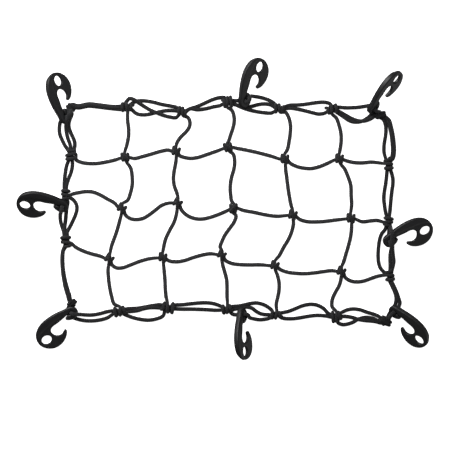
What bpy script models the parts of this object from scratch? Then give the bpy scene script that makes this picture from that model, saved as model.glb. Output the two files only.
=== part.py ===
"""Elastic cargo net with eight moulded hooks, lying flat on the surface that it is stored on.

Frame: metres, +Z up, +Y to the rear edge of the net, origin under the middle of its box.
The tables below are in millimetres.  A place is (x, y), or (x, y, z) where a strand's height matters.
"""
import math

import bmesh
import bpy
from mathutils import Matrix, Vector
from mathutils.geometry import tessellate_polygon

MM = 0.001
GAP = 0.3                      # between separate pieces

# Cord
CORD_RADIUS = 2.15             # corner radius of the six-sided strand
CORD_SIDES = 6
CORD_HALF_HEIGHT = CORD_RADIUS * math.cos(math.pi / CORD_SIDES)
CORD_LIFT = 0.1                # how much higher a strand lies than the one before it in its table
KNOT_LEVEL = 4.2               # height at which a strand runs into a knot
OVER_LEVEL = 6.6               # height at which a strand passes over another
CURVE_STEPS = 8                # points read from the smooth curve between two places of a route
STEEP = 0.45                   # level share of a strand's heading below which its ring keeps the last side
RING_STEP = 15.0               # longest run between two rings of a strand
RING_TURN = math.radians(24)   # largest bend between two rings of a strand

# Knot: rings from the flat underside to the crown, as shares of the height and of the half width
KNOT_HEIGHT = 8.8
KNOT_RINGS = ((0.0, 0.70), (0.30, 1.0), (0.68, 0.93), (1.0, 0.46))
KNOT_SIDES = 9
KNOT_LOBES = 3
KNOT_RIDGE = 0.13              # how far a ridge stands out, as a share of the radius
KNOT_TWIST = 0.9               # turn of the ridges from the underside to the crown, radians

# Hook: a moulded plate in its own plane, v to the beak side and u from the curl to the head
HOOK_THICK = 5.6               # of the bar that runs from the curl along the back
HEAD_THICK = 3.2               # of the web with the mouth, the beak and the eye
CURL_RADIUS = 7.5
CURL_HOLE = 3.2
EYE_MIDDLE = (0.0, 46.3)
EYE_HALF_LONG = 7.6
EYE_HALF_WIDE = 6.1
EYE_LEAN = 20                  # degrees
EYE_SIDES = 12
THREAD_BEND = 3.5              # radius on which a strand turns away from the curl that it threads

# Looks of the two materials: base colour, roughness
CORD_LOOK = ((0.022, 0.022, 0.024, 1.0), 0.82)
HOOK_LOOK = ((0.012, 0.012, 0.013, 1.0), 0.42)

# ---------------------------------------------------------------- hooks
# name: curl x, y; eye x, y; beak side seen from above (1 right, -1 left); tilt; height of the curl
HOOKS = {
    "hook_rear_left": ((-199.1, 113.6), (-208.3, 158.9), 1, 38, 9.2),
    "hook_rear_mid": ((24.2, 134.0), (42.6, 175.8), 1, 38, 9.2),
    "hook_rear_right": ((184.2, 125.2), (211.2, 159.6), 1, 63, 9.8),
    "hook_left": ((-202.9, 3.2), (-249.4, 4.6), -1, 28, 8.6),
    "hook_right": ((204.7, -40.3), (248.6, -27.3), 1, 18, 9.2),
    "hook_front_left": ((-191.2, -130.0), (-223.8, -165.0), -1, 6, 8.4),
    "hook_front_mid": ((21.4, -132.0), (24.1, -177.5), -1, 58, 9.8),
    "hook_front_right": ((211.8, -128.2), (240.6, -161.6), 1, 43, 9.6),
}

# ---------------------------------------------------------------- knots
# name: centre x, y; half width along x and y; turn of the ridges in degrees
KNOTS = {
    "rear_0": (-191.4, 126.0, 4.3, 6.0, 20),
    "rear_1": (-122.8, 126.8, 6.8, 6.0, 80),
    "rear_2": (-53.2, 120.9, 5.2, 6.6, 40),
    "rear_3": (3.9, 133.0, 6.9, 7.4, 70),
    "rear_4": (67.6, 125.0, 5.6, 6.4, 100),
    "rear_5": (133.9, 123.9, 6.6, 6.6, 55),
    "rear_6": (194.2, 116.6, 6.2, 5.4, 15),
    "left_1": (-192.2, 67.0, 7.2, 5.9, 10),
    "left_2": (-199.0, 17.6, 5.7, 6.0, 60),
    "left_3": (-198.4, -41.6, 6.2, 6.8, 30),
    "left_4": (-191.9, -114.8, 4.5, 4.7, 90),
    "front_1": (-131.6, -128.3, 7.2, 6.7, 15),
    "front_2": (-71.8, -123.6, 6.6, 7.4, 45),
    "front_3": (2.2, -125.6, 5.8, 6.2, 75),
    "front_4": (63.4, -133.0, 6.2, 5.4, 25),
    "front_5": (138.4, -135.0, 5.2, 8.2, 80),
    "front_6": (200.9, -140.0, 6.0, 6.8, 85),
    "right_1": (203.9, 55.2, 6.0, 6.6, 65),
    "right_2": (203.6, -16.4, 6.4, 5.4, 40),
    "right_3": (205.6, -84.0, 6.0, 6.2, 5),
    "mesh_11": (-125.0, 64.2, 5.5, 5.6, 20),
    "mesh_21": (-61.5, 71.6, 5.4, 5.9, 60),
    "mesh_31": (3.5, 76.4, 5.6, 5.7, 45),
    "mesh_41": (74.3, 62.0, 5.4, 6.0, 15),
    "mesh_51": (142.5, 62.2, 5.4, 5.9, 15),
    "mesh_12": (-129.2, 0.6, 5.5, 5.9, 100),
    "mesh_22": (-59.6, 7.4, 5.5, 5.9, 105),
    "mesh_32": (10.6, 0.4, 5.3, 6.1, 50),
    "mesh_42": (84.3, -7.8, 5.5, 6.0, 15),
    "mesh_52": (157.0, -12.0, 5.6, 5.8, 20),
    "mesh_13": (-144.8, -62.4, 5.4, 5.7, 100),
    "mesh_23": (-78.0, -60.8, 5.5, 5.6, 30),
    "mesh_33": (-4.4, -57.4, 5.3, 5.5, 110),
    "mesh_43": (61.9, -71.0, 5.4, 5.6, 10),
    "mesh_53": (144.9, -78.4, 5.4, 5.8, 100),
}

# ---------------------------------------------------------------- mesh cords
# name: the knots and the places between them that the cord passes
MESH_CORDS = {
    "along_1": ("rear_1", (-121.8, 111), (-120.5, 100), (-120.5, 91), (-122.5, 80),
                "mesh_11", (-118, 51), (-116, 40), (-116, 29), (-118, 20), (-122, 10),
                "mesh_12", (-131.5, -15), (-134.5, -26), (-137.5, -35), (-141.5, -46),
                "mesh_13", (-146, -75), (-145.5, -87), (-143, -101), (-139.5, -113), "front_1"),
    "along_2": ("rear_2", (-46.4, 113.8), (-43.8, 107.6), (-45, 101), (-49.5, 95), (-56, 88.5), (-60.5, 81),
                "mesh_21", (-61.5, 58), (-63.5, 47), (-64.5, 38), (-63.5, 29), (-60, 19),
                "mesh_22", (-60.5, -6), (-63.5, -16.5), (-69, -27), (-74.5, -39), (-77, -50),
                "mesh_23", (-76, -78), (-75, -90), (-74.5, -102), (-73.5, -111), "front_2"),
    "along_3": ("rear_3", (10.2, 119.5), (11.5, 110), (10, 101), (7, 92), (4, 83.5),
                "mesh_31", (9.5, 69), (12, 58), (11, 49), (8, 38.5), (6.5, 27), (7, 17), (9, 8),
                "mesh_32", (13.5, -8), (11.5, -16.5), (6, -24.5), (0, -33), (-4, -41.5), (-6, -49),
                "mesh_33", (-3, -70), (-0.5, -79), (2, -89), (2.5, -99), (2.5, -109), "front_3"),
    "along_4": ("rear_4", (73.2, 116.8), (78.2, 111.6), (81.2, 104), (81.5, 95), (80, 84), (77.5, 73),
                "mesh_41", (75.5, 51), (77, 39), (78.5, 27), (80.5, 14), (82.5, 4),
                "mesh_42", (85.5, -18), (83.5, -28), (79.5, -38), (73.5, -48), (67.5, -59),
                "mesh_43", (65.5, -83.5), (67.5, -93), (67.5, -101), (66, -110), (64, -119), "front_4"),
    "along_5": ("rear_5", (138.2, 112.5), (142.0, 103.6), (144.5, 94), (145, 84), (143.5, 73),
                "mesh_51", (149, 50), (153.5, 40), (157, 29), (157.5, 17), (158, 4),
                "mesh_52", (158, -24), (157, -34), (154.5, -45), (151, -57), (148, -67),
                "mesh_53", (145, -87), (143, -96), (138.5, -105.5), (135.2, -114.5), (135.4, -122.8),
                "front_5"),
    "across_1": ("left_1", (-179, 58), (-170, 56.5), (-160, 56.5), (-149, 58), (-138, 60.5),
                 "mesh_11", (-112.5, 63), (-103, 65), (-92, 68), (-80, 71.5), (-71, 73),
                 "mesh_21", (-50, 63.5), (-42.5, 62.5), (-34, 63.5), (-24, 67), (-11, 71.5),
                 "mesh_31", (16, 75), (30, 72.5), (45, 69), (58, 65.5),
                 "mesh_41", (91, 53), (100, 50.5), (108, 50), (117, 52), (127, 56),
                 "mesh_51", (152, 59.5), (161, 57.5), (171, 57), (182, 58), "right_1"),
    "across_2": ("left_2", (-189.5, 18.4), (-182, 20), (-174, 21), (-166, 20.5), (-157, 17), (-147, 11),
                 (-138, 5),
                 "mesh_12", (-118, -12.5), (-110.5, -13.5), (-103, -12.5), (-95, -8), (-87, -2), (-79, 4),
                 "mesh_22", (-46, -8.5), (-38, -12), (-30, -13), (-21, -11.5), (-11, -8.5), (0, -4),
                 "mesh_32", (22, -2), (36, -4.5), (50, -7.5), (64, -9),
                 "mesh_42", (93, -13), (102, -16), (113, -16.5), (125, -16), (137, -14.5),
                 "mesh_52", (172, -16.5), (181, -15.5), (190, -14.8), "right_2"),
    "across_3": ("left_3", (-186, -48.5), (-177, -53), (-167, -56.5), (-156, -60),
                 "mesh_13", (-134, -74), (-128, -73.5), (-119, -70.5), (-108, -66.5), (-96, -63),
                 "mesh_23", (-61, -66), (-51, -64.5), (-40, -61), (-29, -58), (-19, -56.5),
                 "mesh_33", (8, -67), (18, -69), (31, -70), (45, -70),
                 "mesh_43", (79, -79), (90, -80.5), (100, -81), (112, -80), (124, -78.5), (134, -78),
                 "mesh_53", (157, -90), (164, -91), (172, -90.5), (182, -87.5), (190.5, -84.6), "right_3"),
}

# ---------------------------------------------------------------- edge strands
# name: the knots, places and hooks that the strand passes; ("through", hook) threads the hook's curl
EDGE_STRANDS = {
    # rear edge, left to right
    "rear_1_a": ("rear_0", (-184, 128.5), (-170, 130.7), (-158, 129.6), (-143, 127.7), "rear_1"),
    "rear_1_b": ("rear_0", (-184, 125.7), (-170, 127.9), (-158, 126.8), (-143, 124.9), "rear_1"),
    "rear_1_c": ("rear_0", (-184, 127.1, 4.1), (-170, 129.3, 4.3), (-158, 128.2, 4.3), (-143, 126.3, 4.1),
                 "rear_1"),
    "rear_2_a": ("rear_1", (-123.5, 133), (-119.3, 137.3, 4.4), (-113.5, 135.8, OVER_LEVEL),
                 (-108, 132, 4.6), (-101, 127.5), (-92.5, 122.5, 4.4), (-86.5, 119.9, OVER_LEVEL),
                 (-77, 116.3, 3.6), (-69, 114.3), (-61, 113.6), "rear_2"),
    "rear_2_b": ("rear_1", (-118.5, 129.5), (-110.5, 134), (-101, 134.5), (-90.5, 133), (-80, 130.3),
                 (-69, 128.2), (-60.5, 126.3), "rear_2"),
    "rear_2_c": ("rear_1", (-115.4, 122.6), (-111, 118.8), (-105, 117.2), (-96, 117.5), (-85.5, 120),
                 (-75, 122), (-64.5, 122.3), "rear_2"),
    "rear_3_a": ("rear_2", (-44, 126.6), (-34.4, 129.2), (-25, 132.6), (-15.5, 136.4), (-7, 138.1),
                 "rear_3"),
    "rear_3_b": ("rear_2", (-44, 124.4), (-34, 123.4), (-23, 124.8), (-14.5, 127), (-7, 128.4), "rear_3"),
    "rear_4_a": ("rear_3", (14.2, 134.6), ("through", "hook_rear_mid"), (34.4, 137.4, 11.4),
                 (39, 138.7, 6), (44.4, 138.2, 2.5), (50, 136.6), (55, 134.6), (59.5, 132.4), "rear_4"),
    "rear_4_b": ("rear_3", (11.5, 130.5), (19, 127.4), (25, 126.2), (32.5, 127.3), (39.5, 129.3),
                 (48, 130.6), (56, 129.8), "rear_4"),
    "rear_4_c": ("rear_3", (12.2, 128.8), (18.5, 123.8), (27, 121.4), (37.5, 120.4), (48, 120),
                 (58, 120.4), "rear_4"),
    "rear_5_a": ("rear_4", (81, 129), (90, 129.3), (100, 130.2), (110, 131.7), (120, 132.2), (127, 130.8),
                 "rear_5"),
    "rear_5_b": ("rear_4", (81, 125.4), (90, 124.2), (100, 122), (110, 119.5), (117, 118), (124, 119),
                 "rear_5"),
    "rear_6_a": ("rear_5", (142, 127.2), (151, 127), (159.5, 127.3), (168, 127.8), (175.6, 129, 3.2),
                 ("through", "hook_rear_right"), "rear_6"),
    "rear_6_b": ("rear_5", (142, 122), (150, 118.8), (158, 114.3), (166, 110.6, 4.2),
                 (174, 109.6, OVER_LEVEL), (181, 111.5, 5.2), (187, 115.5), "rear_6"),
    "rear_6_c": ("rear_5", (142.6, 119.6), (149.4, 114.8), (157, 110.2), (163, 108.8), (170, 109.6),
                 (177, 112.8), (184, 117.4), "rear_6"),
    # right edge, rear to front
    "right_1_a": ("rear_6", (197.5, 111.5), (200.2, 105), (201, 98), (200.3, 90), (198.8, 81),
                  (198.6, 70), "right_1"),
    "right_1_b": ("rear_6", (202.6, 112.5), (206, 105.6), (206.4, 98.5), (206, 90), (205.6, 81),
                  (205, 70), "right_1"),
    "right_1_c": ("rear_6", (204.6, 110.6, 4.4), (209.6, 102.4, 3.6), (211.8, 93.6, 2.6), (212.6, 83),
                  (212.2, 73), (209.6, 64), "right_1"),
    "right_2_a": ("right_1", (202.5, 44), (202, 36.5), (201, 28.5), (199.5, 20), (199, 12.3),
                  (199.5, 4.7), (200.5, -4), "right_2"),
    "right_2_b": ("right_1", (207.8, 45), (209.6, 37.5), (209.6, 30.4), (208.5, 22.8), (207.6, 15),
                  (206.8, 6.4), (206, -3), "right_2"),
    "right_3_a": ("right_2", (200, -26), (196, -31), (193.7, -36.5), (192.4, -44), (191.6, -52),
                  (191.5, -60), (192.4, -67), (195.6, -73), (200.4, -76.8), "right_3"),
    "right_3_b": ("right_2", (205, -26), ("through", "hook_right"), (207.3, -48.4, 12.2),
                  (206.8, -52.8, 6.2), (206.3, -57.2, 2.4), (206.1, -62), (206.3, -70), "right_3"),
    "right_3_c": ("right_2", (210, -23.4), (212, -31), (212.4, -39), (211.6, -47), (210.6, -54),
                  (210.8, -62), (210.9, -70), "right_3"),
    "right_4_a": ("right_3", (205.2, -92.7), (208.4, -99.6), (211.6, -106.2), (212.8, -113.2),
                  (209.6, -119.4), (204.6, -125.2), (201.2, -132), "front_6"),
    "right_4_b": ("right_3", (209.2, -90.7), (212.6, -97.6), (216, -104.2), (217.8, -111),
                  (218.8, -117.6), ("through", "hook_front_right"), "front_6"),
    # front edge, left to right
    "front_1_a": ("left_4", (-191.7, -114.4, 9.6), (-191.2, -118.2, 14.0), ("through", "hook_front_left"),
                  (-183.6, -132.0), (-175, -132.4), (-168, -132.9), (-158.5, -131.2), (-146, -128),
                  "front_1"),
    "front_1_b": ("left_4", (-197.2, -121.6), (-198.4, -128.5), (-195.4, -134.4), (-188.5, -137.6),
                  (-178, -139.4), (-169, -139.7), (-158.5, -137.6), (-148, -134.2), "front_1"),
    "front_2_a": ("front_1", (-120, -124.4), (-110, -124), (-100, -122.4), (-90, -120.6), (-81, -119.6),
                  "front_2"),
    "front_2_b": ("front_1", (-120, -128.6), (-110, -127.6, 3.4), (-100, -124.7, 4.4), (-90, -123.6, 3.4),
                  (-81, -124), "front_2"),
    "front_2_c": ("front_1", (-126, -132), (-116.7, -135.7), (-106.3, -138.3), (-96, -139.4),
                  (-85.5, -137.8), (-77.5, -134.2), "front_2"),
    "front_3_a": ("front_2", (-64, -120.4), (-54, -119.6), (-44, -118.5), (-33, -117.5), (-23, -117.3),
                  (-14.5, -118.5), (-6, -121.6), "front_3"),
    "front_3_b": ("front_2", (-64, -126), (-54, -126.4), (-44, -126.4), (-33, -126.6), (-23, -127),
                  (-12.5, -127.6), "front_3"),
    "front_4_a": ("front_3", (9, -122.4), (18, -119.8), (26, -117.4), (33, -115.6), (40, -115.6),
                  (47, -118), (52.6, -123.4), (56.6, -129.4), "front_4"),
    "front_4_b": ("front_3", (9.4, -126), (18, -124.4), (26, -123.0), (33.5, -124.4), (39.5, -128.8),
                  (46, -131.8), (54, -132.6), "front_4"),
    "front_4_c": ("front_3", (8.8, -131.6), ("through", "hook_front_mid"), (30.6, -136, 7.4),
                  (35.6, -137.6, 3.2), (42, -138.8), (52, -138), "front_4"),
    "front_5_a": ("front_4", (71, -130.2), (79, -128.5), (88, -125), (98, -121.1), (107.5, -119.6),
                  (114.5, -121), (121.5, -125.4), (127.8, -133.2), "front_5"),
    "front_5_b": ("front_4", (71, -136.6), (81, -137.9), (91, -137.5), (99, -136.2), (107.5, -134.8),
                  (116, -134.3), (126, -135), "front_5"),
    "front_6_a": ("front_5", (146, -129.6), (155, -126), (162, -125.5), (169, -126.6), (177, -129.4),
                  (185.5, -132), (192, -134.8), "front_6"),
    "front_6_b": ("front_5", (150, -135.6), (159.5, -137.2), (166.5, -139.6, 3.6), (175, -141.2, 3.6),
                  (185.5, -141.8), "front_6"),
    "front_6_c": ("front_5", (140.8, -142.2), (146.6, -145.0), (152.5, -144.4), (159.5, -142.2),
                  (166, -138.4), (173.5, -136.2), (183, -136.8), "front_6"),
    # left edge, rear to front
    "left_1_a": ("rear_0", (-191.6, 120.6, 11.4), ("through", "hook_rear_left"), (-206.8, 107.6, 3.0),
                 (-208.6, 101.6), (-208.4, 96), (-207.2, 89.6), (-204.8, 83.4), (-200, 75.5), "left_1"),
    "left_1_b": ("rear_0", (-191.6, 117.5), (-192.4, 110.4), (-197, 103.4), (-200, 96), (-199.2, 88),
                 (-196, 79), "left_1"),
    "left_1_c": ("rear_0", (-188, 116), (-188.6, 108.6), (-191.8, 99.6), (-192.2, 91.5), (-189.3, 84),
                 (-188, 76), "left_1"),
    "left_2_a": ("left_1", (-198, 55), (-200.2, 45), (-201.4, 36), (-201.5, 27), "left_2"),
    "left_2_b": ("left_1", (-190.5, 54), (-192.3, 45), (-195.6, 36.5), (-198, 28, 3.6), "left_2"),
    "left_3_a": ("left_2", ("through", "hook_left"), (-205, -6.6, 10.8), (-205.6, -11.4, 5.6),
                 (-205.2, -17, 2.4), (-203.4, -23), (-202, -27), "left_3"),
    "left_3_b": ("left_2", (-194.4, 8.4), (-193.4, 1), (-194.2, -6.4), (-196.6, -15.4),
                 (-199.2, -27, 3.8), "left_3"),
    "left_3_c": ("left_2", (-192.4, 9.6), (-187.4, 5.4), (-185.4, -1), (-186.4, -7.4), (-189.6, -15.4),
                 (-193.3, -22.8), (-196.6, -30, 4.2), "left_3"),
    "left_4_a": ("left_3", (-203.2, -55), (-204.2, -65), (-203.6, -75), (-201.9, -85), (-199.4, -96),
                 (-195.8, -106), "left_4"),
    "left_4_b": ("left_3", (-200.6, -54, 3.4), (-201, -65, 4.8), (-200.6, -75, 5.0), (-199.4, -85, 4.6),
                 (-196.4, -96, 3.2), (-192.6, -106), "left_4"),
}

EDGE_KNOTS = [name for name in KNOTS if not name.startswith("mesh_")]
MESH_KNOTS = [name for name in KNOTS if name.startswith("mesh_")]


# ---------------------------------------------------------------- materials
def material(name, look):
    """A plain material of one colour and roughness."""
    colour, roughness = look
    made = bpy.data.materials.new(name)
    made.use_nodes = True
    made.diffuse_color = colour
    shader = made.node_tree.nodes["Principled BSDF"]
    shader.inputs["Base Color"].default_value = colour
    shader.inputs["Roughness"].default_value = roughness
    shader.inputs["Metallic"].default_value = 0.0
    return made


def add_object(name, bm, surface=None):
    """Turn a bmesh in millimetres into an object in metres."""
    bmesh.ops.scale(bm, vec=(MM, MM, MM), verts=bm.verts)
    mesh = bpy.data.meshes.new(name)
    bm.to_mesh(mesh)
    bm.free()
    made = bpy.data.objects.new(name, mesh)
    bpy.context.scene.collection.objects.link(made)
    if surface:
        mesh.materials.append(surface)
    return made


# ---------------------------------------------------------------- the hook's outline
def arc(radius, start, end, count):
    """Points on a circle about the curl's centre, between two angles in degrees."""
    step = (end - start) / (count - 1)
    angles = [math.radians(start + step * i) for i in range(count)]
    return [(radius * math.cos(angle), radius * math.sin(angle)) for angle in angles]


# The step from the bar to the web, from the inside of the shank past the eye to the end of the head
BAR_EDGE = [(-4.7, 22.0), (-7.6, 28.6), (-8.9, 35.2), (-9.6, 42.0), (-9.9, 48.6), (-8.8, 54.8)]


def hook_outline():
    """The outline of the plate, (v, u), anticlockwise from the back of the curl."""
    curl_outside = arc(CURL_RADIUS, 205, 385, 9)
    curl_tip = [(5.4, 5.8), (3.5, 8.4), (1.0, 10.6), (-0.8, 9.8), (-1.1, 6.8)]
    curl_hole = arc(CURL_HOLE, 72, -190, 8)
    shank_inside = [(-3.1, 8.5), (-3.6, 14.0), BAR_EDGE[0], (-6.0, 28.6), (-5.4, 33.0), (-2.4, 35.9)]
    mouth = [(2.4, 35.9), (5.4, 34.5), (8.3, 31.2), (9.5, 27.2), (8.5, 23.4)]
    beak = [(8.4, 21.6), (9.9, 21.1), (13.0, 24.0), (15.7, 29.4), (16.8, 36.0), (16.0, 42.6)]
    head = [(13.2, 48.4), (8.8, 52.8), (3.2, 55.8), (-2.9, 56.6), BAR_EDGE[-1], (-13.8, 50.6)]
    back = [(-17.0, 44.4), (-18.2, 37.8), (-17.9, 30.4), (-16.2, 21.8), (-12.8, 11.4), (-9.7, 4.3)]
    return curl_outside + curl_tip + curl_hole + shank_inside + mouth + beak + head + back


def hook_eye():
    """The finger eye in the head, an ellipse that leans to the back of the hook, clockwise."""
    lean = math.radians(EYE_LEAN)
    points = []
    for i in range(EYE_SIDES):
        angle = -2 * math.pi * i / EYE_SIDES
        long, short = EYE_HALF_LONG * math.cos(angle), EYE_HALF_WIDE * math.sin(angle)
        points.append((EYE_MIDDLE[0] - long * math.sin(lean) + short * math.cos(lean),
                       EYE_MIDDLE[1] + long * math.cos(lean) + short * math.sin(lean)))
    return points[::-1]


def hook_regions():
    """The bar's outline and the web's, each anticlockwise; they share the points of the step."""
    outline = hook_outline()
    start, end = outline.index(BAR_EDGE[0]), outline.index(BAR_EDGE[-1])
    bar = outline[end:] + outline[:start] + BAR_EDGE[:-1]
    web = outline[start:end] + BAR_EDGE[:0:-1]
    return bar, web


def hook_bmesh():
    """The moulding in its own plane: the bar, and the thinner web with the eye through it."""
    bm = bmesh.new()
    ends = (BAR_EDGE[0], BAR_EDGE[-1])
    bar, web = hook_regions()
    levels = []
    for loops, thick in (([bar], HOOK_THICK), ([web, hook_eye()], HEAD_THICK)):
        triangles = tessellate_polygon([[Vector((v, u, 0)) for v, u in loop] for loop in loops])
        faces = [{point: bm.verts.new((*point, z)) for loop in loops for point in loop}
                 for z in (-thick / 2, thick / 2)]
        flat = [point for loop in loops for point in loop]
        for face in faces:
            for triangle in triangles:
                bm.faces.new([face[flat[i]] for i in triangle])
        levels.append(faces)
    (bar_low, bar_high), (web_low, web_high) = levels
    for loop in (web, hook_eye()):
        for point, after in zip(loop, loop[1:] + loop[:1]):
            if point in bar and after in bar:
                bm.faces.new((bar_low[point], bar_low[after], web_low[after], web_low[point]))
                bm.faces.new((web_high[point], web_high[after], bar_high[after], bar_high[point]))
            else:
                bm.faces.new((web_low[point], web_low[after], web_high[after], web_high[point]))
    for point, after in zip(bar, bar[1:] + bar[:1]):
        if point in web and after in web:
            continue
        corners = [bar_low[point], bar_low[after]]
        corners += [web_low[after], web_high[after]] if after in ends else []
        corners += [bar_high[after], bar_high[point]]
        corners += [web_high[point], web_low[point]] if point in ends else []
        bm.faces.new(corners)
    bmesh.ops.recalc_face_normals(bm, faces=bm.faces)
    return bm


def hook_place(name, pitch):
    """The hook's matrix in millimetres: columns v, u and the plate's normal, at the curl's centre."""
    curl, eye, side, tilt, height = HOOKS[name]
    level = Vector((eye[0] - curl[0], eye[1] - curl[1], 0)).normalized()
    along = (level * math.cos(pitch) + Vector((0, 0, math.sin(pitch)))).normalized()
    sideways = Vector((level.y, -level.x, 0)) * side
    upward = along.cross(sideways) * -side
    lean = math.radians(tilt)
    across = sideways * math.cos(lean) - upward * math.sin(lean)
    normal = across.cross(along)
    turn = Matrix((across, along, normal)).transposed().to_4x4()
    return Matrix.Translation((curl[0], curl[1], height)) @ turn


def hook_settled(name, corners):
    """The place in which the hook's lowest corner just touches the surface, its curl kept at its height."""
    down, up = math.radians(-25), math.radians(35)
    for _ in range(40):
        pitch = (down + up) / 2
        place = hook_place(name, pitch)
        if min((place @ corner).z for corner in corners) < 0:
            down = pitch
        else:
            up = pitch
    return hook_place(name, up)


# ---------------------------------------------------------------- strands
def turned_out(place, normal, target):
    """Points that leave the curl along its normal and turn towards the target on a small arc."""
    leave = place + normal * HOOK_THICK / 2
    heading = target - leave
    sideways = (heading - normal * heading.dot(normal)).normalized()
    bend = min(normal.angle(heading), math.pi / 2)
    arc_points = []
    for angle in (bend / 2, bend):
        offset = normal * math.sin(angle) + sideways * (1 - math.cos(angle))
        arc_points.append(leave + offset * THREAD_BEND)
    return arc_points


def thread(place, before, after):
    """Points through a hook's curl, entering by the face that is nearer to the point before it."""
    middle = place.translation
    normal = place.col[2].to_3d()
    if (middle - normal * HOOK_THICK - before).length < (middle + normal * HOOK_THICK - before).length:
        normal = -normal
    return turned_out(middle, normal, before)[::-1] + [middle] + turned_out(middle, -normal, after)


def stop_point(stop, low, lift):
    """The point at which a strand passes a knot or a place."""
    if isinstance(stop, str):
        x, y = KNOTS[stop][:2]
        return Vector((x, y, KNOT_LEVEL + lift))
    x, y, z = stop if len(stop) == 3 else (*stop, low)
    return Vector((x, y, z))


def route_points(route, places, lift):
    """The route's own points, with the height of each."""
    low = CORD_HALF_HEIGHT + lift
    points = []
    for index, stop in enumerate(route):
        if stop[0] == "through":
            after = stop_point(route[index + 1], low, lift)
            points += thread(places[stop[1]], points[-1], after)
        else:
            points.append(stop_point(stop, low, lift))
    return points, low


def heading_at(before, here, after):
    """The curve's direction at a point, which leans to the nearer neighbour's."""
    arriving, leaving = here - before, after - here
    return (arriving.normalized() * leaving.length + leaving.normalized() * arriving.length) / (
        arriving.length + leaving.length)


def smooth(points, low):
    """Rings on a smooth curve through the points, each a centre and a heading, closer where it bends."""
    ends = [points[0] * 2 - points[1]] + points + [points[-1] * 2 - points[-2]]
    fine = [points[0]]
    for before, start, end, after in zip(ends, ends[1:], ends[2:], ends[3:]):
        chord = (end - start).length
        leave = heading_at(before, start, end) * chord
        arrive = heading_at(start, end, after) * chord
        for i in range(1, CURVE_STEPS + 1):
            t = i / CURVE_STEPS
            place = (start * (1 + 2 * t) * (1 - t) ** 2 + end * t * t * (3 - 2 * t)
                     + leave * t * (1 - t) ** 2 - arrive * t * t * (1 - t))
            place.z = max(place.z, low)
            fine.append(place)
    rings = [(fine[0], fine[1] - fine[0])]
    run = turned = 0.0
    for before, here, after in zip(fine, fine[1:], fine[2:]):
        run += (here - before).length
        turned += (here - before).angle(after - here)
        if run > RING_STEP or turned > RING_TURN:
            rings.append((here, after - before))
            run = turned = 0.0
    rings.append((fine[-1], fine[-1] - fine[-2]))
    return rings


def tube(centres):
    """A closed six-sided tube through the rings' centres, with a flat side down."""
    bm = bmesh.new()
    side = Vector((1, 0, 0))
    rings = []
    for centre, heading in centres:
        along = heading.normalized()
        level = Vector((-along.y, along.x, 0))
        if level.length > STEEP:
            side = level
        side = (side - along * side.dot(along)).normalized()
        upward = along.cross(side)
        ring = []
        for k in range(CORD_SIDES):
            angle = 2 * math.pi * k / CORD_SIDES
            offset = side * math.cos(angle) + upward * math.sin(angle)
            ring.append(bm.verts.new(centre + offset * CORD_RADIUS))
        rings.append(ring)
    for low, high in zip(rings, rings[1:]):
        for k in range(CORD_SIDES):
            after = (k + 1) % CORD_SIDES
            bm.faces.new((low[k], low[after], high[after], high[k]))
    bm.faces.new(rings[0])
    bm.faces.new(rings[-1][::-1])
    bmesh.ops.recalc_face_normals(bm, faces=bm.faces)
    return bm


# ---------------------------------------------------------------- knots
def knot(name, grow=0.0):
    """A ridged knot with a flat underside; grow makes it larger all round."""
    x, y, half_x, half_y, turn = KNOTS[name]
    bm = bmesh.new()
    rings = []
    for share, width in KNOT_RINGS:
        z = share * (KNOT_HEIGHT + 2 * grow) - grow
        ring = []
        for k in range(KNOT_SIDES):
            angle = 2 * math.pi * k / KNOT_SIDES
            phase = angle - math.radians(turn) - KNOT_TWIST * share
            size = width * (1 + KNOT_RIDGE * math.cos(KNOT_LOBES * phase)) / (1 + KNOT_RIDGE)
            ring.append(bm.verts.new((x + (half_x * size + grow) * math.cos(angle),
                                      y + (half_y * size + grow) * math.sin(angle), z)))
        rings.append(ring)
    for low, high in zip(rings, rings[1:]):
        for k in range(KNOT_SIDES):
            after = (k + 1) % KNOT_SIDES
            bm.faces.new((low[k], low[after], high[after], high[k]))
    bm.faces.new(rings[0][::-1])
    bm.faces.new(rings[-1])
    bmesh.ops.recalc_face_normals(bm, faces=bm.faces)
    return bm


# ---------------------------------------------------------------- joining
def joined(name, first, others, operation, surface):
    """One object made from the first and the others by an exact Boolean."""
    tools = bpy.data.collections.new(name + "_tools")
    bpy.context.scene.collection.children.link(tools)
    for other in others:
        bpy.context.scene.collection.objects.unlink(other)
        tools.objects.link(other)
    cut = first.modifiers.new(operation.lower(), "BOOLEAN")
    cut.operation = operation
    cut.solver = "EXACT"
    cut.operand_type = "COLLECTION"
    cut.collection = tools
    shown = first.evaluated_get(bpy.context.evaluated_depsgraph_get())
    mesh = bpy.data.meshes.new_from_object(shown)
    mesh.name = name
    mesh.materials.clear()
    mesh.materials.append(surface)
    for piece in [first, *others]:
        bpy.data.objects.remove(piece)
    bpy.data.collections.remove(tools)
    made = bpy.data.objects.new(name, mesh)
    bpy.context.scene.collection.objects.link(made)
    return made


def strands(table, places):
    """One tube for each strand of a table; neighbours lie a little higher, so that no faces coincide."""
    made = []
    for index, (name, route) in enumerate(table.items()):
        points, low = route_points(route, places, CORD_LIFT * (0.5 + index % 3))
        made.append(add_object(name, tube(smooth(points, low))))
    return made


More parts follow.
